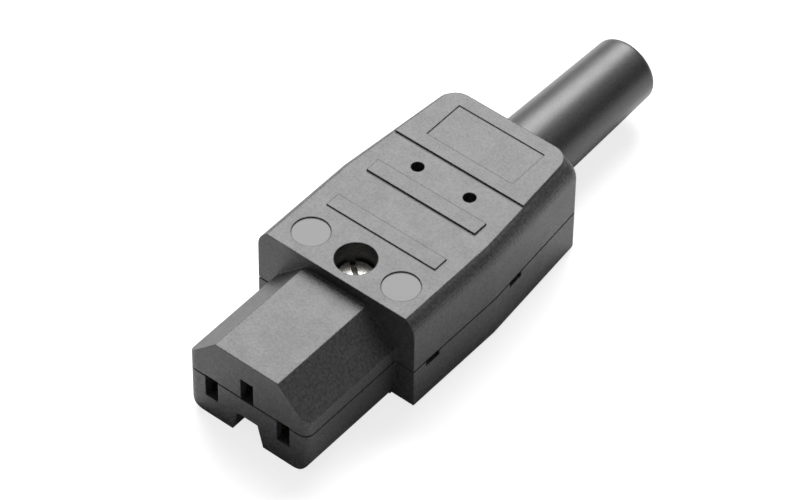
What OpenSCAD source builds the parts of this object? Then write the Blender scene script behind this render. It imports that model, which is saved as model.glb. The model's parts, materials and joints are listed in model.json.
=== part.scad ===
// Rewireable straight appliance connector with a hot-condition face.
// Two moulded halves hold three sprung contacts with screw terminals, a cord
// clamp and a bend-relief sleeve, and one screw in the middle closes them.
// X runs across the slots, Y from the engagement face to the cord, Z up.
// The origin is under the middle of the part, on the surface that it rests on.

/* [Nose] */
// Width of the nose that enters the inlet
nose_w = 23.4; // [23:0.1:24.4]
// Height of the nose above the line and neutral centre line
nose_top = 10.4; // [9.8:0.1:10.8]
// Depth of the underside below the line and neutral centre line
base_drop = 6.1; // [5.4:0.1:6.6]
// Length of the nose in front of the body
nose_l = 20.5; // [20:0.5:24]
// Leg of the 45 degree chamfers on the earth side
nose_chamfer = 5.6; // [5:0.1:6]
// Rounding of the two lower edges
nose_round = 3; // [1.5:0.5:3.5]
// Rounding of the two upright edges of the face
face_round = 1.6; // [0.5:0.1:2]
// Width of the keying notch at its roof
notch_w = 3.9; // [3:0.1:4.4]
// Width of the keying notch at the underside
notch_mouth_w = 6; // [5:0.1:6.4]
// Height of the keying notch
notch_h = 4.2; // [3:0.1:4.4]

/* [Contacts] */
// Distance between the line and the neutral contact
pin_pitch = 14; // [14:0.1:14.6]
// Height of the earth contact above the other two
earth_rise = 4; // [3.8:0.1:4.2]
// Width of each slot
slot_w = 2.5; // [2.2:0.1:2.8]
// Height of each slot
slot_h = 4.5; // [4.2:0.1:4.6]
// Thickness of the wall behind the engagement face
face_wall = 1.6; // [1.2:0.1:1.8]
// Thickness of a plug pin
pin_t = 2; // [2:0.1:2.2]
// Length of the contact jaws
jaw_l = 15.5; // [14:0.5:16]
// Height of the contact jaws
jaw_h = 4.4; // [4:0.1:4.6]
// Thickness of the contact metal
contact_t = 0.6; // [0.5:0.05:0.7]
// Thickness of the strap behind the jaws
strap_t = 0.8; // [0.6:0.1:1]
// Width of the strap
strap_w = 4; // [3.4:0.1:4.2]
// Thickness of the backing spring
spring_t = 0.3; // [0.2:0.05:0.4]

/* [Terminals] */
// Sideways step from a live contact to its terminal
term_step = 1.6; // [1.4:0.1:1.8]
// Distance of the live terminals from the shoulder
term_back = 8.5; // [8.3:0.1:9]
// Width of a terminal block
term_w = 6.5; // [6:0.1:6.6]
// Length of a terminal block
term_l = 7.5; // [7:0.1:8]
// Thickness of the block under the strap
term_base = 1.2; // [1:0.1:1.4]
// Bore for the stripped conductor
wire_bore = 3.4; // [3:0.1:3.5]
// Thickness of the web between strap and bore
term_web = 0.6; // [0.5:0.1:0.8]
// Thickness of the block over the bore
term_roof = 1.6; // [1.4:0.1:1.8]
// Diameter of the terminal screws
term_screw_d = 3; // [2.5:0.1:3]
// Head diameter of the terminal screws
term_head_d = 4.6; // [4.2:0.1:5]
// Head height of the terminal screws
term_head_h = 1.6; // [1.4:0.1:1.8]

/* [Body] */
// Width of the body at its shoulder
body_w = 30.6; // [30:0.1:32]
// Width of the body at the cord end
body_rear_w = 26.5; // [25.5:0.1:27.5]
// Height of the top over the line and neutral centre line
body_top = 12.55; // [12.4:0.05:13.5]
// Length of the body
body_l = 42.35; // [42:0.05:45]
// Length of the body before its sides draw in
body_straight = 19.5; // [17:0.5:21]
// How far the rounded shoulder draws in along the top
brow_in = 1.8; // [1.4:0.1:2.2]
// Height of the rounded shoulder along the top
brow_h = 3.2; // [2.8:0.1:3.6]
// Corner radius of the plan at the cord end
corner_r = 1.2; // [0.8:0.1:2]
// Corner radius of the top face at the cord end
top_corner_r = 3; // [2:0.1:3.6]
// Thickness of the side walls
wall = 2; // [1.7:0.1:2.2]
// Thickness of the top wall
top_wall = 1.9; // [1.6:0.1:2]
// Thickness of the end wall round the sleeve
rear_wall = 2.2; // [2:0.1:2.4]
// Height of the parting plane over the line and neutral centre line
split = 2; // [1.8:0.05:2.05]
// Width of the fine groove along the parting plane
split_groove = 0.3; // [0.2:0.05:0.4]
// Chamfer along the underside
foot_chamfer = 0.6; // [0.3:0.1:1]

/* [Top face] */
// Length of the raised field at the cord end
field_l = 13.05; // [12:0.05:13.5]
// Height of that raised field
field_h = 0.3; // [0.2:0.05:0.4]
// Width of the two raised label strips
strip_w = 21.2; // [18:0.1:22]
// Length of the label strips along the body
strip_l = 2.8; // [2:0.1:3.5]
// Distance of the front strip from the shoulder
strip_1 = 10.5; // [10:0.1:11.5]
// Distance of the rear strip from the shoulder
strip_2 = 20; // [18:0.1:21]
// Width of the shallow panel in the raised field
panel_w = 16.8; // [14:0.1:17]
// Length of the shallow panel
panel_l = 8; // [6:0.1:8.4]
// Depth of the shallow panel
panel_deep = 0.15; // [0.1:0.05:0.25]
// Diameter of the two round mould-insert marks
mark_d = 6.1; // [5:0.1:6.4]
// Sideways distance of these marks from the middle
mark_x = 8.8; // [8.6:0.1:9.2]
// Depth of these marks
mark_deep = 0.2; // [0.1:0.05:0.3]

/* [Closing screw] */
// Distance of the closing screw from the shoulder
screw_back = 4.75; // [4.6:0.05:5]
// Diameter of the well over the screw
well_d = 6.7; // [6.4:0.1:7]
// Depth of the screw head under the top
head_deep = 3.6; // [3.4:0.1:4]
// Diameter of the screw head
head_d = 5.7; // [5.2:0.1:5.8]
// Height of the screw head
head_h = 2; // [1.8:0.1:2.2]
// Diameter of the screw thread
screw_d = 3; // [2.6:0.1:3]
// Turn of the driver slot
screw_turn = -39; // [-90:1:90]
// Thickness of the lock washer
washer_t = 0.6; // [0.5:0.1:0.7]
// Diameter of the threaded insert
insert_d = 5.2; // [4.8:0.1:5.4]
// Length of the threaded insert
insert_l = 4.6; // [4:0.1:4.8]
// Diameter of the screw posts
post_d = 9; // [8.8:0.1:9.2]

/* [Latches] */
// Distance of the front latches from the shoulder
latch_front_back = 4.5; // [4.2:0.1:6]
// Distance of the rear latches from the shoulder
latch_rear_back = 25.1; // [24:0.1:27]
// Length of a latch window
latch_l = 3.2; // [2.6:0.1:3.6]
// Height of a latch window
latch_h = 1.1; // [0.9:0.1:1.3]
// Thickness of a latch arm
latch_t = 1.2; // [1:0.1:1.4]

/* [Cord clamp] */
// Distance of the clamp screws from the shoulder
clamp_back = 25.6; // [25:0.1:26.4]
// Sideways distance of the clamp screws from the middle
clamp_x = 5.1; // [4.9:0.1:5.3]
// Largest cord between the clamp screws
cord_gap = 6.8; // [6:0.1:6.8]
// Pilot hole of the clamp screws
pilot_d = 2.1; // [1.8:0.1:2.3]
// Diameter of the clamp screws
clamp_screw_d = 2.9; // [2.6:0.1:3]
// Diameter of the bosses that take the clamp screws
boss_d = 4.8; // [4.4:0.1:5]
// Length of the clamp bar
bar_w = 16.4; // [15.6:0.1:17]
// Width of the clamp bar along the cord
bar_l = 6; // [5:0.1:6.4]
// Thickness of the clamp bar
bar_t = 2.2; // [1.8:0.1:2.4]
// Head diameter of the clamp screws
clamp_head_d = 5.2; // [4.8:0.1:5.6]
// Head height of the clamp screws
clamp_head_h = 1.8; // [1.5:0.1:1.9]

/* [Sleeve] */
// Length of the sleeve behind the body
sleeve_l = 30; // [20:0.5:40]
// Diameter of the sleeve at the body
sleeve_d = 13.1; // [12.6:0.1:13.6]
// Diameter of the sleeve at its free end
sleeve_end_d = 11.5; // [10.5:0.1:12]
// Bore of the sleeve for the cord
sleeve_bore = 7.4; // [6:0.1:7.6]
// Rounding of the free end
sleeve_round = 1; // [0.5:0.1:1.5]
// Diameter of the neck in the end wall
neck_d = 10; // [9.6:0.1:10.6]
// Diameter of the flange inside the body
flange_d = 13.2; // [12:0.1:13.4]
// Thickness of the flange inside the body
flange_t = 2; // [1.6:0.1:2.2]

/* [Hidden] */

$fn = 48;
corner_steps = 6;      // facets of a corner of the body in plan
brow_steps = 6;        // facets of the rounded shoulder

// clearances and small sizes that several pieces share
slip = 0.05;           // between pieces that are pushed together
gap = 0.1;             // between pieces that must go in freely
room = 0.35;           // round the contacts in their chambers
over = 1;              // how far a cut runs past a face
chamber_back = 2.4;    // depth of a chamber behind its jaws
lead_in = 3;           // length of the jaws' flared mouth
saddle_t = 2.2;        // saddle over the cord clamp
latch_root = 2;        // height of a latch arm above the parting plane
slot_cut_w = 0.9;      // driver slots
slot_cut_deep = 0.8;

// colours of the moulded halves, the sleeve and the metals
black = "#3a3a3c";
sleeve_black = "#2c2c2e";
brass = "#c8a24a";
nickel = "#b9b8b2";
steel = "#8d9096";
fibre = "#5b5049";

// heights, all from the line and neutral centre line
pin_x = pin_pitch / 2;
term_x = pin_x + term_step;
jaw_drop = jaw_h / 2 + 0.2;                  // strap underside below a contact's centre
live_z = 0;
earth_z = earth_rise;
earth_floor = earth_z - jaw_drop;
floor_z = live_z - jaw_drop - term_base;     // inner floor, where the live blocks stand
roof_z = body_top - top_wall;
brow_z = body_top - brow_h;
brow_r = (brow_in * brow_in + brow_h * brow_h) / (2 * brow_in);

// stations along Y
body_end = nose_l + body_l;
bend_y = nose_l + body_straight;
field_y = body_end - field_l;
screw_y = nose_l + screw_back;
term_y = nose_l + term_back;
earth_term_y = screw_y + post_d / 2 + 1.2;
chamber_end = face_wall + jaw_l + chamber_back;
clamp_y = nose_l + clamp_back;
latch_ys = [nose_l + latch_front_back, nose_l + latch_rear_back];
front_inner = nose_l + wall;
rear_inner = body_end - rear_wall;
flange_y = rear_inner - gap - flange_t;
total_l = body_end + sleeve_l;

// screw stack in the well
head_z = body_top - head_deep;
seat_z = head_z - head_h - washer_t;
strap_top = earth_floor + strap_t;
eye_d = post_d - 0.6;                        // eye of the earth strap
insert_top = earth_floor;
screw_tip = insert_top - insert_l + 0.6;

// terminal block heights above its own underside
bore_z = term_base + strap_t + term_web + wire_bore / 2;
term_h = bore_z + wire_bore / 2 + term_roof;
guard_t = 0.3;
guard_w = 2.2;
guard_z = sqrt(pow(wire_bore / 2, 2) - pow(guard_w / 2, 2)) - slip;
strap_in = 2.5;                              // how far a strap enters its block
clamp_grip = 6.4;                            // length of a clamp screw in its boss
front_strip_h = 0.2;                         // height of the front label strip
rib_t = 1.6;                                 // walls in front of the sleeve's flange
parting_deep = 0.2;                          // depth of the groove along the parting plane

// one jaw pair in plan, from lead-in round the back to lead-in
jaw_mid = pin_t / 2 + contact_t / 2;
jaw_back = face_wall + jaw_l;
jaw_half = [
    [jaw_mid + 0.6, face_wall + 0.6], [jaw_mid - 0.15, face_wall + 0.6 + lead_in],
    [jaw_mid + 0.2, jaw_back - 1.2], [jaw_mid - 0.5, jaw_back]
];
jaw_path = concat(jaw_half, [for (i = [3 : -1 : 0]) [-jaw_half[i][0], jaw_half[i][1]]]);

// half width of the body's side at a station
function side_x(y) = y < bend_y ? body_w / 2
    : body_w / 2 - (y - bend_y) * (body_w - body_rear_w) / 2 / (body_end - bend_y);

// places the part over the middle of the surface that it rests on
module place() {
    translate([0, -total_l / 2, base_drop]) children();
}

// extrudes a profile drawn in X and Z along Y
module along_y(y, length) {
    translate([0, y + length, 0]) rotate([90, 0, 0]) linear_extrude(length) children();
}

// cylinder along Y
module rod_y(d, y, length) {
    translate([0, y, 0]) rotate([-90, 0, 0]) cylinder(d = d, h = length);
}

// unit vector from one point to the next
function heading(a, b) = (b - a) / norm(b - a);

// direction of a path at one of its points
function heading_at(p, i) =
    i == 0 ? heading(p[0], p[1])
    : i == len(p) - 1 ? heading(p[i - 1], p[i])
    : let (s = heading(p[i - 1], p[i]) + heading(p[i], p[i + 1])) s / norm(s);

// stretch of the offset at a bend, so that the strip keeps its thickness
function mitre(p, i) = i == 0 || i == len(p) - 1 ? 1 : 1 / (heading_at(p, i) * heading(p[i], p[i + 1]));

// one edge of a bent strip
function strip_edge(p, t, side) = [
    for (i = [0 : len(p) - 1]) let (d = heading_at(p, i)) p[i] + side * t / 2 * mitre(p, i) * [-d[1], d[0]]
];

// sheet strip of thickness t, bent along a path
module bent_strip(p, t) {
    back = strip_edge(p, t, -1);
    polygon(concat(strip_edge(p, t, 1), [for (i = [len(p) - 1 : -1 : 0]) back[i]]));
}

// outline of the body in plan, its sides drawn in by d and its ends by end_d,
// with corners of radius r at the cord end
function body_outline(d, r, end_d) =
    let (
        lean = atan2((body_w - body_rear_w) / 2, body_end - bend_y),
        corner_y = body_end - end_d - r,
        corner = [side_x(corner_y) - d - r / cos(lean), corner_y],
        half = concat(
            [[body_w / 2 - d, nose_l + end_d], [body_w / 2 - d, bend_y]],
            [for (k = [0 : corner_steps]) let (a = lean + (90 - lean) * k / corner_steps)
                corner + r * [cos(a), sin(a)]]
        )
    )
    concat(half, [for (i = [len(half) - 1 : -1 : 0]) [-half[i][0], half[i][1]]]);

module body_plan(d, r, end_d) {
    polygon(body_outline(d, r, end_d));
}

// nose in plan, drawn in by d, with rounded corners at the face
module nose_plan(d, back) {
    x = nose_w / 2 - d;
    r = face_round;
    translate([-x, d + r]) square([2 * x, back - d - r]);
    translate([r - x, d]) square([2 * (x - r), back]);
    for (s = [-1, 1]) translate([s * (x - r), d + r]) circle(r);
}

// nose seen from the front
module nose_profile() {
    x = nose_w / 2;
    flat = x - nose_chamfer;
    r = nose_round;
    polygon([
        [-flat, nose_top], [flat, nose_top], [x, nose_top - nose_chamfer], [x, r - base_drop],
        [x - r, -base_drop], [r - x, -base_drop], [-x, r - base_drop], [-x, nose_top - nose_chamfer]
    ]);
    for (s = [-1, 1]) translate([s * (x - r), r - base_drop]) circle(r);
}

// keying notch seen from the front
module notch_profile() {
    slope = (notch_mouth_w - notch_w) / 2 / notch_h;
    mouth = notch_mouth_w / 2 + slope * over;
    polygon([
        [-notch_w / 2, notch_h - base_drop], [notch_w / 2, notch_h - base_drop],
        [mouth, -base_drop - over], [-mouth, -base_drop - over]
    ]);
}

module nose_solid() {
    intersection() {
        along_y(0, nose_l + wall) difference() {
            nose_profile();
            notch_profile();
        }
        translate([0, 0, -base_drop]) linear_extrude(base_drop + nose_top) nose_plan(0, nose_l + wall);
    }
}

// rounded shoulder that carries the top face, built in level rings
module brow() {
    turn = asin(brow_h / brow_r);
    rings = [for (i = [0 : brow_steps])
        let (
            a = turn * i / brow_steps,
            inset = brow_r * (1 - cos(a)),
            r = corner_r + (top_corner_r - corner_r) * inset / brow_in
        )
        [for (q = body_outline(inset, r, 0)) [q[0], q[1], brow_z + brow_r * sin(a)]]
    ];
    n = len(rings[0]);
    last = brow_steps * n;
    polyhedron(
        points = [for (ring = rings, q = ring) q],
        faces = concat(
            [[for (k = [0 : n - 1]) k], [for (k = [n - 1 : -1 : 0]) last + k]],
            [for (i = [0 : brow_steps - 1], k = [0 : n - 1]) let (at = i * n, next = (k + 1) % n)
                [at + k, at + n + k, at + n + next]],
            [for (i = [0 : brow_steps - 1], k = [0 : n - 1]) let (at = i * n, next = (k + 1) % n)
                [at + k, at + n + next, at + next]]
        )
    );
}

// bevel along the underside, between two points in plan
module foot_bevel(a, b) {
    run = norm(b - a);
    translate([a[0], a[1], -base_drop]) rotate([0, 0, atan2(b[1] - a[1], b[0] - a[0])])
        rotate([45, 0, 0]) translate([-over, -foot_chamfer / sqrt(2), -foot_chamfer / sqrt(2)])
            cube([run + 2 * over, foot_chamfer * sqrt(2), foot_chamfer * sqrt(2)]);
}

// hollow inside the two halves
module hollow(bottom, top) {
    translate([0, 0, bottom]) linear_extrude(top - bottom) difference() {
        body_plan(wall, 1, wall);
        translate([-body_w, 0]) square([2 * body_w, front_inner]);
        translate([-body_w, rear_inner]) square([2 * body_w, body_l]);
    }
}

// slots and contact chambers; the earth one is cut by both halves
module contact_chambers() {
    chamber_w = 2 * (pin_t / 2 + contact_t + spring_t + 3 * slip + room);
    for (c = [[-pin_x, live_z], [pin_x, live_z], [0, earth_z]]) translate([c[0], 0, c[1]]) {
        translate([-slot_w / 2, -over, -slot_h / 2]) cube([slot_w, face_wall + 2 * over, slot_h]);
        translate([-chamber_w / 2, face_wall, -jaw_drop])
            cube([chamber_w, chamber_end - face_wall, jaw_h + 2 * gap + 0.2]);
    }
    for (s = [-1, 1]) translate([s * pin_x - chamber_w / 2, chamber_end - over, live_z - jaw_drop])
        cube([chamber_w, front_inner - chamber_end + 2 * over, split - live_z + jaw_drop + 0.3]);
    translate([-strap_w / 2 - gap, chamber_end - over, earth_floor])
        cube([strap_w + 2 * gap, front_inner - chamber_end + 2 * over, strap_t + gap]);
    translate([0, screw_y, earth_floor]) cylinder(d = eye_d + 2 * gap, h = strap_t);
}

// fine groove that shows where the halves meet
module parting_groove() {
    translate([0, 0, split - split_groove / 2]) linear_extrude(split_groove) difference() {
        union() { body_plan(0, corner_r, 0); nose_plan(0, nose_l + over); }
        union() { body_plan(parting_deep, corner_r, parting_deep); nose_plan(parting_deep, nose_l + over); }
    }
}

// seat of the sleeve's neck and flange in the end wall and floor
module sleeve_seat() {
    translate([0, 0, split]) {
        rod_y(neck_d + 2 * gap, rear_inner - over, rear_wall + 2 * over);
        rod_y(flange_d + 2 * gap, flange_y - gap, flange_t + 2 * gap);
    }
}

// walls in front of the flange, with a round pass for the cord
module flange_rib(bottom, top) {
    y = flange_y - gap - rib_t;
    difference() {
        translate([0, 0, bottom]) linear_extrude(top - bottom) intersection() {
            body_plan(wall / 2, 1, wall / 2);
            translate([-body_w, y]) square([2 * body_w, rib_t]);
        }
        translate([0, 0, split]) rod_y(sleeve_bore + 0.6, y - over, rib_t + 2 * over);
    }
}

module upper_housing() {
    color(black) place() difference() {
        union() {
            difference() {
                union() {
                    translate([0, 0, split]) linear_extrude(brow_z - split) body_plan(0, corner_r, 0);
                    brow();
                    raised_field();
                    label_strips();
                    intersection() {
                        nose_solid();
                        translate([-nose_w, -over, split]) cube([2 * nose_w, nose_l + 2 * wall, nose_top]);
                    }
                }
                hollow(split - over, roof_z);
                contact_chambers();
            }
            upper_inside();
        }
        screw_well();
        for (s = [-1, 1]) {
            clamp_pilot(s);
            translate([s * mark_x, screw_y, body_top - mark_deep]) cylinder(d = mark_d, h = over);
        }
        translate([-panel_w / 2, field_y + (field_l - panel_l) / 2, body_top + field_h - panel_deep])
            cube([panel_w, panel_l, over]);
        sleeve_seat();
        parting_groove();
    }
}

// raised field over the cord end of the top face
module raised_field() {
    translate([0, 0, body_top - 0.1]) linear_extrude(field_h + 0.1) intersection() {
        body_plan(brow_in, top_corner_r, 0);
        translate([-body_w, field_y]) square([2 * body_w, field_l]);
    }
}

module label_strips() {
    for (y = [strip_1, strip_2]) translate([-strip_w / 2, nose_l + y, body_top - 0.1])
        cube([strip_w, strip_l, 0.1 + (y == strip_1 ? front_strip_h : field_h)]);
}

// post, bosses, saddle and latch arms inside the upper half
module upper_inside() {
    translate([0, screw_y, strap_top]) cylinder(d = post_d, h = roof_z - strap_top + gap);
    for (s = [-1, 1]) difference() {
        translate([s * clamp_x, clamp_y, split]) cylinder(d = boss_d, h = roof_z - split + gap);
        translate([-cord_gap / 2, clamp_y - boss_d, split - over]) cube([cord_gap, 2 * boss_d, roof_z]);
    }
    difference() {
        translate([boss_d / 3 - clamp_x, clamp_y - saddle_t / 2, split + cord_gap / 4])
            cube([2 * (clamp_x - boss_d / 3), saddle_t, roof_z - split - cord_gap / 4 + gap]);
        translate([0, 0, split]) rod_y(cord_gap, clamp_y - boss_d, 2 * boss_d);
    }
    flange_rib(split, roof_z + gap);
    for (s = [-1, 1], y = latch_ys) latch_arm(s, y);
}

// hook that hangs from the upper half into a window of the lower one
module latch_arm(s, y) {
    face = side_x(y + latch_l / 2) - wall - gap;
    arm_l = latch_l - 2 * gap;
    reach = wall / 2;
    mirror([s > 0 ? 0 : 1, 0, 0]) translate([face - latch_t, y - arm_l / 2, split - latch_h - 1]) {
        cube([latch_t, arm_l, latch_h + 1 + latch_root]);
        translate([0, 0, latch_h + 1]) cube([latch_t + wall / 2 + gap, arm_l, latch_root]);
        translate([latch_t - slip, 0, 1 + gap]) cube([reach, arm_l, latch_h - 3 * gap]);
    }
}

// well, seat and shank hole of the closing screw
module screw_well() {
    translate([0, screw_y, 0]) {
        translate([0, 0, seat_z]) cylinder(d = well_d, h = body_top);
        translate([0, 0, split - over]) cylinder(d = screw_d + 0.4, h = body_top);
    }
}

// pilot hole that the clamp screw has cut open to its own size
module clamp_pilot(s) {
    translate([s * clamp_x, clamp_y, split - over]) {
        cylinder(d = pilot_d, h = body_top);
        cylinder(d = clamp_screw_d + 2 * slip, h = over + clamp_grip);
    }
}

module lower_housing() {
    color(black) place() difference() {
        union() {
            difference() {
                union() {
                    translate([0, 0, -base_drop]) linear_extrude(split + base_drop)
                        body_plan(0, corner_r, 0);
                    intersection() {
                        nose_solid();
                        translate([-nose_w, -over, split - body_top])
                            cube([2 * nose_w, nose_l + 2 * wall, body_top]);
                    }
                }
                hollow(floor_z, split + over);
                contact_chambers();
            }
            lower_inside();
        }
        insert_hole();
        sleeve_seat();
        parting_groove();
        for (s = [-1, 1], y = latch_ys) latch_window(s, y);
        foot_bevels();
    }
}

// post, barriers, earth stand and sleeve rib inside the lower half
module lower_inside() {
    barrier_t = 1;
    barrier_x = term_x / 2;
    barrier_l = earth_term_y + term_l + 2 - front_inner;
    translate([0, screw_y, floor_z - gap]) cylinder(d = post_d, h = earth_floor - floor_z + gap);
    for (s = [-1, 1]) translate([s * barrier_x - barrier_t / 2, front_inner - gap, floor_z - gap])
        cube([barrier_t, barrier_l, earth_floor - floor_z - gap]);
    translate([-term_w / 2, earth_term_y, floor_z - gap])
        cube([term_w, term_l, earth_floor - term_base - floor_z + gap]);
    flange_rib(floor_z - gap, split);
}

module insert_hole() {
    translate([0, screw_y, insert_top - insert_l])
        cylinder(d = insert_d + 2 * slip, h = insert_l + 2 * over);
}

// window for a latch, open to the parting plane
module latch_window(s, y) {
    x = side_x(y) - wall - over;
    mirror([s > 0 ? 0 : 1, 0, 0]) translate([x, y - latch_l / 2, split - latch_h])
        cube([wall + 3 * over, latch_l, latch_h + over]);
}

// bevels round the underside of the body
module foot_bevels() {
    for (s = [-1, 1]) {
        foot_bevel([s * body_w / 2, nose_l], [s * body_w / 2, bend_y]);
        foot_bevel([s * body_w / 2, bend_y], [s * body_rear_w / 2, body_end]);
        foot_bevel([s * body_w / 2, nose_l], [s * nose_w / 2, nose_l]);
    }
    foot_bevel([-body_rear_w / 2, body_end], [body_rear_w / 2, body_end]);
}

// slotted cheese-head screw, head down at z = 0, shank up
module slotted_screw(d, length, top_d, top_h) {
    difference() {
        union() {
            cylinder(d = d, h = length);
            translate([0, 0, -top_h]) cylinder(d = top_d, h = top_h);
        }
        translate([-top_d, -slot_cut_w / 2, -top_h - over])
            cube([2 * top_d, slot_cut_w, slot_cut_deep + over]);
    }
}

module closing_screw() {
    color(nickel) place() translate([0, screw_y, head_z - head_h])
        rotate([0, 0, screw_turn]) mirror([0, 0, 1])
            slotted_screw(screw_d, head_z - head_h - screw_tip, head_d, head_h);
}

module lock_washer() {
    color(steel) place() translate([0, screw_y, seat_z]) difference() {
        cylinder(d = head_d, h = washer_t);
        translate([0, 0, -over]) cylinder(d = screw_d + 0.3, h = washer_t + 2 * over);
    }
}

// insert with two grooves that key it in the post
module threaded_insert() {
    groove = 0.6;
    color(brass) place() translate([0, screw_y, insert_top - insert_l]) difference() {
        cylinder(d = insert_d, h = insert_l);
        translate([0, 0, -over]) cylinder(d = screw_d + 2 * slip, h = insert_l + 2 * over);
        for (z = [insert_l / 4, insert_l * 3 / 4]) translate([0, 0, z - groove / 2]) difference() {
            cylinder(d = insert_d + over, h = groove);
            cylinder(d = insert_d - groove, h = groove);
        }
    }
}

// sprung jaws with the strap behind them
module contact(x, z) {
    translate([x, 0, z - jaw_drop]) linear_extrude(jaw_h) bent_strip(jaw_path, contact_t);
    translate([0, 0, z - jaw_drop]) linear_extrude(strap_t) children();
}

// strap that jogs from a pin's line to its terminal
module live_strap(s) {
    end_y = term_y + strap_in;
    bent_strip([
        [s * pin_x, jaw_back - 0.2], [s * pin_x, front_inner - 0.5],
        [s * term_x, term_y - 1.5], [s * term_x, end_y]
    ], strap_w);
}

// strap with an eye round the closing screw
module earth_strap() {
    difference() {
        union() {
            translate([-strap_w / 2, jaw_back - 0.2])
                square([strap_w, earth_term_y + strap_in - jaw_back + 0.2]);
            translate([0, screw_y]) circle(d = eye_d);
        }
        translate([0, screw_y]) circle(d = screw_d + 0.4);
    }
}

module line_contact() color(brass) place() contact(-pin_x, live_z) live_strap(-1);
module neutral_contact() color(brass) place() contact(pin_x, live_z) live_strap(1);
module earth_contact() color(brass) place() contact(0, earth_z) earth_strap();

// steel clip that backs up the jaws from outside
module backing_spring(x, z) {
    around = strip_edge(jaw_path, contact_t + spring_t + 2 * slip, -1);
    translate([x, 0, z - jaw_drop + strap_t + gap]) linear_extrude(jaw_h - strap_t - 4 * gap)
        bent_strip([for (i = [1 : 6]) around[i]], spring_t);
}

module line_spring() color(steel) place() backing_spring(-pin_x, live_z);
module neutral_spring() color(steel) place() backing_spring(pin_x, live_z);
module earth_spring() color(steel) place() backing_spring(0, earth_z);

// frame of a terminal: children are drawn from the block's underside centre
module at_terminal(which) {
    at = which == "earth" ? [0, earth_term_y, earth_floor - term_base]
        : [which == "line" ? -term_x : term_x, term_y, live_z - jaw_drop - term_base];
    place() translate(at) children();
}

// block with a bore for the conductor, a strap slot and a screw hole
module terminal_block() {
    difference() {
        translate([-term_w / 2, 0, 0]) cube([term_w, term_l, term_h]);
        translate([-strap_w / 2 - slip, -over, term_base])
            cube([strap_w + 2 * slip, strap_in + slip + over, strap_t]);
        translate([0, -over, bore_z]) rotate([-90, 0, 0]) cylinder(d = wire_bore, h = term_l + 2 * over);
        translate([0, term_l / 2, bore_z]) cylinder(d = term_screw_d + 2 * slip, h = term_h);
    }
}

module terminal_screw() {
    translate([0, term_l / 2, term_h]) mirror([0, 0, 1])
        slotted_screw(term_screw_d, term_h - bore_z - guard_z, term_head_d, term_head_h);
}

// leaf between the screw's end and the conductor, hooked over the block
module wire_guard() {
    lip = 1.4;
    z = bore_z + guard_z - guard_t;
    translate([-guard_w / 2, slip, z]) cube([guard_w, term_l, guard_t]);
    translate([-guard_w / 2, term_l + slip, z]) cube([guard_w, guard_t, lip]);
}

module line_terminal() color(brass) at_terminal("line") terminal_block();
module neutral_terminal() color(brass) at_terminal("neutral") terminal_block();
module earth_terminal() color(brass) at_terminal("earth") terminal_block();
module line_terminal_screw() color(nickel) at_terminal("line") terminal_screw();
module neutral_terminal_screw() color(nickel) at_terminal("neutral") terminal_screw();
module earth_terminal_screw() color(nickel) at_terminal("earth") terminal_screw();
module line_wire_guard() color(nickel) at_terminal("line") wire_guard();
module neutral_wire_guard() color(nickel) at_terminal("neutral") wire_guard();
module earth_wire_guard() color(nickel) at_terminal("earth") wire_guard();

// bar with a gripping ridge, screwed up against the bosses
module clamp_bar() {
    ridge_h = 0.8;
    color(fibre) place() translate([0, clamp_y, split - bar_t]) difference() {
        union() {
            translate([-bar_w / 2 + bar_l / 2, -bar_l / 2, 0]) cube([bar_w - bar_l, bar_l, bar_t]);
            for (s = [-1, 1]) translate([s * (bar_w - bar_l) / 2, 0, 0]) cylinder(d = bar_l, h = bar_t);
            for (y = [-1.9, 0, 1.9]) translate([-cord_gap / 2 + gap, y - 0.5, bar_t - slip])
                cube([cord_gap - 2 * gap, 1, ridge_h + slip]);
        }
        for (s = [-1, 1]) translate([s * clamp_x, 0, -over])
            cylinder(d = clamp_screw_d + 0.3, h = bar_t + 2 * over);
    }
}

module clamp_screw(s) {
    color(nickel) place() translate([s * clamp_x, clamp_y, split - bar_t]) rotate([0, 0, 30 * s])
        slotted_screw(clamp_screw_d, bar_t + clamp_grip - 2 * gap, clamp_head_d, clamp_head_h);
}

module left_clamp_screw() clamp_screw(-1);
module right_clamp_screw() clamp_screw(1);

// tapered sleeve whose flange is trapped between the halves
module strain_relief_sleeve() {
    r0 = sleeve_d / 2;
    r1 = sleeve_end_d / 2;
    e = sleeve_round;
    color(sleeve_black) place() translate([0, 0, split]) rotate([-90, 0, 0]) rotate_extrude() {
        difference() {
            union() {
                polygon([
                    [0, flange_y], [flange_d / 2, flange_y], [flange_d / 2, flange_y + flange_t],
                    [neck_d / 2, flange_y + flange_t], [neck_d / 2, body_end + gap], [r0, body_end + gap],
                    [r1, total_l - e], [r1 - e, total_l], [0, total_l]
                ]);
                translate([r1 - e, total_l - e]) circle(e);
            }
            translate([-2 * r0, flange_y - over]) square([2 * r0 + sleeve_bore / 2, total_l]);
        }
    }
}

upper_housing();
lower_housing();
closing_screw();
lock_washer();
threaded_insert();
line_contact();
neutral_contact();
earth_contact();
line_spring();
neutral_spring();
earth_spring();
line_terminal();
neutral_terminal();
earth_terminal();
line_terminal_screw();
neutral_terminal_screw();
earth_terminal_screw();
line_wire_guard();
neutral_wire_guard();
earth_wire_guard();
clamp_bar();
left_clamp_screw();
right_clamp_screw();
strain_relief_sleeve();
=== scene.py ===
"""Looks of a rewireable appliance connector with a hot-condition face.

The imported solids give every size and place. This script dresses them and sets the part on a
white table under one soft lamp.
Everything is in metres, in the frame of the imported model.
"""

import json
import logging
import math
from dataclasses import dataclass

import bpy
from mathutils import Matrix, Vector


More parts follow.
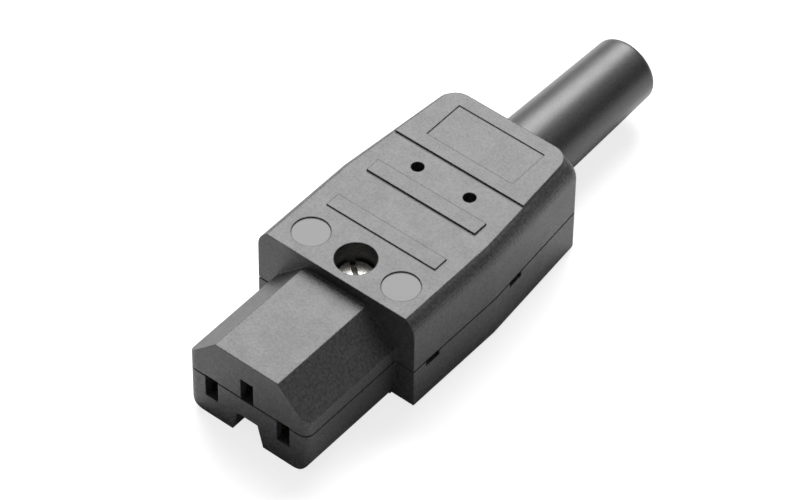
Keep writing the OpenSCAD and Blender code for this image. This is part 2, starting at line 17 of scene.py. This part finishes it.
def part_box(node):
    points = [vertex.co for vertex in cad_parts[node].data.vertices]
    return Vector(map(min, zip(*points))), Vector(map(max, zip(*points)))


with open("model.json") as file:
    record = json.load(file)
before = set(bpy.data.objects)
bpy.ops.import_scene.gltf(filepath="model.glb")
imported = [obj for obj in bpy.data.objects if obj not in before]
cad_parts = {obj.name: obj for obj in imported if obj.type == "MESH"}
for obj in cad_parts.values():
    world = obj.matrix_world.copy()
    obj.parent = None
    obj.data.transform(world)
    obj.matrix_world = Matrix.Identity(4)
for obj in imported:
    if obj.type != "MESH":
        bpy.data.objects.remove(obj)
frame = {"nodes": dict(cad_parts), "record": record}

LOG = logging.getLogger("connector")
MM = 0.001
MARK_PAINTED_SHEEN = 1.5  # painted sheen: a polished mark's floor is coloured lighter to stand in for its reflection, in parts of the grained plastic's colour
MARK_SMOOTHER = 0.03  # how much less rough a polished mark is
ROUGHNESS_SPREAD = 0.015  # how far the plastic's roughness wanders either way
FACE_RAISED = 0.3 * MM  # the top of the rear panel over the face that carries the marks
MARK_PLACE = 8.8 * MM  # each mark's centre, from the middle
MARK_RADIUS = 3.04 * MM


# ----------------------------------------------------------------------------------------------
# Small helpers
# ----------------------------------------------------------------------------------------------
def linear(hex_code: str) -> tuple[float, float, float, float]:
    """Turns an sRGB hex colour into linear RGBA.

    Args:
        hex_code: six hex digits with a leading hash.

    Returns:
        The linear colour with an alpha of 1.
    """
    channels = [int(hex_code[i:i + 2], 16) / 255 for i in (1, 3, 5)]
    curve = [c / 12.92 if c <= 0.04045 else ((c + 0.055) / 1.055) ** 2.4 for c in channels]
    return (curve[0], curve[1], curve[2], 1.0)


def add_node(
        tree: bpy.types.NodeTree, kind: str, sockets: dict | None = None, **settings) -> bpy.types.Node:
    """Adds a node with its settings, and sets or links its inputs.

    Args:
        tree: the node tree that takes the node.
        kind: Blender's name of the node type.
        sockets: input name or index, with the value or the output socket that it gets.
        settings: attributes of the node.

    Returns:
        The new node.
    """
    node = tree.nodes.new(kind)
    for name, value in settings.items():
        setattr(node, name, value)
    for socket, value in (sockets or {}).items():
        if isinstance(value, bpy.types.NodeSocket):
            tree.links.new(value, node.inputs[socket])
        else:
            node.inputs[socket].default_value = value
    return node


def new_material(name: str) -> tuple[bpy.types.Material, bpy.types.NodeTree]:
    """Makes an empty node material.

    Args:
        name: the material's name.

    Returns:
        The material and its cleared node tree.
    """
    material = bpy.data.materials.new(name)
    material.use_nodes = True
    material.node_tree.nodes.clear()
    return material, material.node_tree


def dress(node_name: str, material: bpy.types.Material) -> None:
    """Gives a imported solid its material.

    Args:
        node_name: the solid's node.
        material: what it is made of.
    """
    solid = frame["nodes"][node_name]
    solid.data.materials.clear()
    solid.data.materials.append(material)
    LOG.info("dressed %s with %s", node_name, material.name)


# ----------------------------------------------------------------------------------------------
# Finishes
# ----------------------------------------------------------------------------------------------
@dataclass(frozen=True)
class InsertMark:
    """Round mark of a polished mould insert, sunk a little into the top face. Its floor carries a painted
    sheen: a lighter colour that stands in for its reflection.
    """

    centre: Vector
    radius: float
    floor: float
    depth: float = 0.2 * MM

    def mask(self, tree: bpy.types.NodeTree, place: bpy.types.NodeSocket) -> bpy.types.NodeSocket:
        """Adds the nodes that are 1 on the mark's floor and 0 elsewhere.

        Args:
            tree: the material's node tree.
            place: Object coordinates.

        Returns:
            The mask's socket.
        """
        nearest = Vector((self.centre.x, self.centre.y, self.floor))
        folded = add_node(tree, "ShaderNodeVectorMath", {0: place}, operation="ABSOLUTE")
        spread = add_node(tree, "ShaderNodeSeparateXYZ", {0: folded.outputs[0]})
        own = add_node(tree, "ShaderNodeSeparateXYZ", {0: place})
        mirrored = add_node(tree, "ShaderNodeCombineXYZ", {
            "X": spread.outputs["X"], "Y": own.outputs["Y"], "Z": own.outputs["Z"]})
        away = add_node(tree, "ShaderNodeVectorMath", {
            0: mirrored.outputs[0], 1: nearest}, operation="SUBTRACT")
        parts = add_node(tree, "ShaderNodeSeparateXYZ", {0: away.outputs[0]})
        flat = add_node(tree, "ShaderNodeCombineXYZ", {"X": parts.outputs["X"], "Y": parts.outputs["Y"]})
        reach = add_node(tree, "ShaderNodeVectorMath", {0: flat.outputs[0]}, operation="LENGTH")
        inside = add_node(tree, "ShaderNodeMath", {
            0: reach.outputs["Value"], 1: self.radius}, operation="LESS_THAN")
        level = add_node(tree, "ShaderNodeMath", {0: parts.outputs["Z"]}, operation="ABSOLUTE")
        near = add_node(tree, "ShaderNodeMath", {
            0: level.outputs[0], 1: self.depth / 4}, operation="LESS_THAN")
        both = add_node(tree, "ShaderNodeMath", {
            0: inside.outputs[0], 1: near.outputs[0]}, operation="MULTIPLY")
        return both.outputs[0]


@dataclass(frozen=True)
class MouldedPlastic:
    """Injection-moulded thermoplastic. Its grain is the spark-eroded skin of the mould.

    The grain breaks the gloss into fine specks, and moulded edges are softly rounded.
    """

    name: str
    colour: str
    roughness: float = 0.5
    grain_mm: float = 0.42
    grain_deep_mm: float = 0.06
    contrast: float = 0.6
    mottle_mm: float = 2.5
    edge_mm: float = 0.25
    ior: float = 1.5
    mark: InsertMark | None = None

    def build(self) -> bpy.types.Material:
        """Builds the material: grain in colour, gloss and bump, rounded edges and the insert marks, whose
        floors get a painted sheen.
        """
        material, tree = new_material(self.name)
        place = add_node(tree, "ShaderNodeTexCoord").outputs["Object"]
        grain = add_node(tree, "ShaderNodeTexNoise", {
            "Vector": place, "Scale": 1 / (self.grain_mm * MM), "Detail": 2.0, "Roughness": 0.55})
        mottle = add_node(tree, "ShaderNodeTexNoise", {
            "Vector": place, "Scale": 1 / (self.mottle_mm * MM), "Detail": 2.0})
        base = linear(self.colour)[:3]
        ramp = add_node(tree, "ShaderNodeValToRGB", {"Fac": grain.outputs["Fac"]})
        ramp.color_ramp.elements[0].position = 0.35
        ramp.color_ramp.elements[0].color = [(1 - self.contrast) * c for c in base] + [1]
        ramp.color_ramp.elements[1].position = 0.65
        ramp.color_ramp.elements[1].color = [(1 + self.contrast) * c for c in base] + [1]
        gloss = add_node(tree, "ShaderNodeMapRange", {
            "Value": mottle.outputs["Fac"], "From Min": 0.35, "From Max": 0.65,
            "To Min": self.roughness - ROUGHNESS_SPREAD,
            "To Max": self.roughness + ROUGHNESS_SPREAD})
        colour, rough, deep = ramp.outputs["Color"], gloss.outputs["Result"], 1.0
        if self.mark:
            mask = self.mark.mask(tree, place)
            # painted sheen: the marks' floors get a lighter colour that stands in for their reflection;
            # their lower roughness and softer bump are real
            colour = add_node(tree, "ShaderNodeMix", {
                "Factor": mask, "A": colour,
                "B": (*(MARK_PAINTED_SHEEN * c for c in base), 1)}, data_type="RGBA").outputs["Result"]
            rough = add_node(tree, "ShaderNodeMix", {
                "Factor": mask, "A": rough, "B": self.roughness - MARK_SMOOTHER}).outputs["Result"]
            deep = add_node(tree, "ShaderNodeMapRange", {
                "Value": mask, "To Min": 1.0, "To Max": 0.15}).outputs["Result"]
        edge = add_node(tree, "ShaderNodeBevel", {"Radius": self.edge_mm * MM}, samples=6)
        bump = add_node(tree, "ShaderNodeBump", {
            "Height": grain.outputs["Fac"], "Strength": deep, "Distance": self.grain_deep_mm * MM,
            "Normal": edge.outputs["Normal"]})
        shader = add_node(tree, "ShaderNodeBsdfPrincipled", {
            "Base Color": colour, "Roughness": rough, "Normal": bump.outputs["Normal"], "IOR": self.ior})
        add_node(tree, "ShaderNodeOutputMaterial", {"Surface": shader.outputs["BSDF"]})
        return material


@dataclass(frozen=True)
class Metal:
    """Sheet, drawn or plated metal, with fine scratches from its making."""

    name: str
    colour: str
    roughness: float
    scratch_mm: float = 0.12

    def build(self) -> bpy.types.Material:
        """Builds the material: a metal whose roughness follows fine scratches."""
        material, tree = new_material(self.name)
        place = add_node(tree, "ShaderNodeTexCoord").outputs["Object"]
        scratch = add_node(tree, "ShaderNodeTexNoise", {
            "Vector": place, "Scale": 1 / (self.scratch_mm * MM), "Detail": 4.0})
        rough = add_node(tree, "ShaderNodeMapRange", {
            "Value": scratch.outputs["Fac"], "To Min": self.roughness * 0.7, "To Max": self.roughness * 1.3})
        bump = add_node(tree, "ShaderNodeBump", {
            "Height": scratch.outputs["Fac"], "Strength": 0.3, "Distance": 0.004 * MM})
        shader = add_node(tree, "ShaderNodeBsdfPrincipled", {
            "Base Color": linear(self.colour), "Metallic": 1.0,
            "Roughness": rough.outputs["Result"], "Normal": bump.outputs["Normal"]})
        add_node(tree, "ShaderNodeOutputMaterial", {"Surface": shader.outputs["BSDF"]})
        return material


# ----------------------------------------------------------------------------------------------
# Studio
# ----------------------------------------------------------------------------------------------
@dataclass
class Studio:
    """White table, one soft lamp behind the part, dark walls and the camera."""

    camera_azimuth: float = 38.94
    camera_elevation: float = 46.68
    camera_roll: float = 0.72
    camera_distance: float = 0.6876
    aim_mm: tuple[float, float, float] = (6.377, -18.565, 22.755)
    lens: float = 207.57
    table_size: float = 8.0
    lamp_distance: float = 0.6
    lamp_size: float = 0.5
    lamp_power: float = 9.5
    wall_radius: float = 0.45
    wall_top: float = 0.3

    def build(self) -> None:
        """Builds the whole studio."""
        self.set_colour_management()
        self.build_world()
        self.build_table()
        self.build_walls()
        self.build_lamps()
        self.build_camera()

    def set_colour_management(self) -> None:
        """Sets the plain view transform."""
        bpy.context.scene.view_settings.view_transform = "Standard"

    def build_world(self) -> None:
        """Builds a white surround for the camera and a dim one for diffuse light."""
        world = bpy.data.worlds.new("surround")
        bpy.context.scene.world = world
        world.use_nodes = True
        tree = world.node_tree
        tree.nodes.clear()
        path = add_node(tree, "ShaderNodeLightPath")
        seen = add_node(tree, "ShaderNodeMath", {
            0: path.outputs["Is Camera Ray"], 1: path.outputs["Is Glossy Ray"]}, operation="MAXIMUM")
        seen = add_node(tree, "ShaderNodeMath", {
            0: seen.outputs[0], 1: path.outputs["Is Transmission Ray"]}, operation="MAXIMUM")
        dim = add_node(tree, "ShaderNodeBackground", {"Color": linear("#ffffff"), "Strength": 0.25})
        white = add_node(tree, "ShaderNodeBackground", {"Color": linear("#ffffff"), "Strength": 1.0})
        mix = add_node(tree, "ShaderNodeMixShader", {
            0: seen.outputs[0], 1: dim.outputs[0], 2: white.outputs[0]})
        add_node(tree, "ShaderNodeOutputWorld", {"Surface": mix.outputs[0]})

    def build_table(self) -> None:
        """Builds the white table, whose colour alone makes the background white."""
        bpy.ops.mesh.primitive_plane_add(size=self.table_size, location=(0, 0, -0.02 * MM))
        table = bpy.context.object
        table.name = "table"
        material, tree = new_material("white_laminate")
        path = add_node(tree, "ShaderNodeLightPath")
        matt = add_node(tree, "ShaderNodeBsdfDiffuse", {"Color": linear("#f2f2f2")})
        dimmed = add_node(tree, "ShaderNodeBsdfDiffuse", {"Color": linear("#9a9a9a")})
        glow = add_node(tree, "ShaderNodeEmission", {"Color": linear("#ffffff"), "Strength": 0.78})
        lit = add_node(tree, "ShaderNodeAddShader", {0: dimmed.outputs[0], 1: glow.outputs[0]})
        mix = add_node(tree, "ShaderNodeMixShader", {
            0: path.outputs["Is Camera Ray"], 1: matt.outputs[0], 2: lit.outputs[0]})
        add_node(tree, "ShaderNodeOutputMaterial", {"Surface": mix.outputs[0]})
        table.data.materials.append(material)

    def build_walls(self) -> None:
        """Builds the dark wall round the table, which only reflections see."""
        bpy.ops.mesh.primitive_cylinder_add(
            vertices=48, radius=self.wall_radius, depth=self.wall_top, end_fill_type="NOTHING",
            location=(0, 0, self.wall_top / 2 + 5 * MM))
        wall = bpy.context.object
        wall.name = "dark_wall"
        material, tree = new_material("black_card")
        card = add_node(tree, "ShaderNodeBsdfDiffuse", {"Color": linear("#0c0c0c")})
        add_node(tree, "ShaderNodeOutputMaterial", {"Surface": card.outputs[0]})
        wall.data.materials.append(material)
        wall.visible_camera = False
        wall.visible_diffuse = False
        wall.visible_shadow = False
        wall.visible_transmission = False

    def lamp(self, name: str, azimuth: float, elevation: float, size: float, power: float) -> None:
        """Adds a square area lamp that faces the part.

        Args:
            name: the lamp's name.
            azimuth: the side that it stands on, measured as the camera's is.
            elevation: its height angle in degrees.
            size: its edge in metres.
            power: its power in watts.
        """
        a, e = math.radians(azimuth), math.radians(elevation)
        out = Vector((math.sin(a) * math.cos(e), -math.cos(a) * math.cos(e), math.sin(e)))
        data = bpy.data.lights.new(name, "AREA")
        data.size = size
        data.energy = power
        lamp = bpy.data.objects.new(name, data)
        bpy.context.scene.collection.objects.link(lamp)
        lamp.location = out * self.lamp_distance
        lamp.rotation_euler = out.to_track_quat("Z", "Y").to_euler()
        lamp.visible_camera = False

    def build_lamps(self) -> None:
        """Builds the soft lamp behind the part, opposite the camera."""
        self.lamp("soft_box", self.camera_azimuth + 180, 50, self.lamp_size, self.lamp_power)

    def build_camera(self) -> None:
        """Builds the camera at the angle that the part is looked at from."""
        a, e = math.radians(self.camera_azimuth), math.radians(self.camera_elevation)
        back = Vector((math.sin(a) * math.cos(e), -math.cos(a) * math.cos(e), math.sin(e)))
        right = Vector((math.cos(a), math.sin(a), 0))
        up = back.cross(right)
        roll = Matrix.Rotation(math.radians(self.camera_roll), 3, back)
        axes = Matrix((roll @ right, roll @ up, back)).transposed()
        data = bpy.data.cameras.new("camera")
        data.lens = self.lens
        data.sensor_width = 36
        camera = bpy.data.objects.new("camera", data)
        bpy.context.scene.collection.objects.link(camera)
        camera.matrix_world = Matrix.Translation(
            Vector(self.aim_mm) * MM + back * self.camera_distance) @ axes.to_4x4()
        bpy.context.scene.camera = camera


def main() -> None:
    """Builds the studio and dresses the part."""
    logging.basicConfig(level=logging.INFO, format="%(name)s: %(message)s")
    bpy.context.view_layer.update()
    Studio().build()
    screw_low, screw_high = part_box("closing_screw")
    mark = InsertMark(
        centre=Vector((MARK_PLACE, (screw_low.y + screw_high.y) / 2, 0)), radius=MARK_RADIUS,
        floor=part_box("upper_housing")[1].z - FACE_RAISED - InsertMark.depth)
    upper = MouldedPlastic("polyamide_black_grained", "#29292a", mark=mark).build()
    pvc = MouldedPlastic(
        "pvc_black_soft", "#242425", roughness=0.4, grain_mm=0.2, grain_deep_mm=0.004).build()
    brass = Metal("stamped_brass", "#c9a45a", 0.32).build()
    nickel = Metal("nickel_plate", "#d8d6cf", 0.22).build()
    steel = Metal("spring_steel", "#a9abad", 0.35).build()
    fibre = MouldedPlastic("pressed_fibre", "#4a3b30", roughness=0.7).build()
    slots = {
        "housing_upper": upper, "housing_lower": upper, "sleeve": pvc, "brass": brass,
        "nickel_plated": nickel, "spring_steel": steel, "fibre": fibre,
    }
    for subpart in frame["record"]["subparts"]:
        dress(subpart["node"], slots[subpart["material_slot"]])


if __name__ == "__main__":
    main()
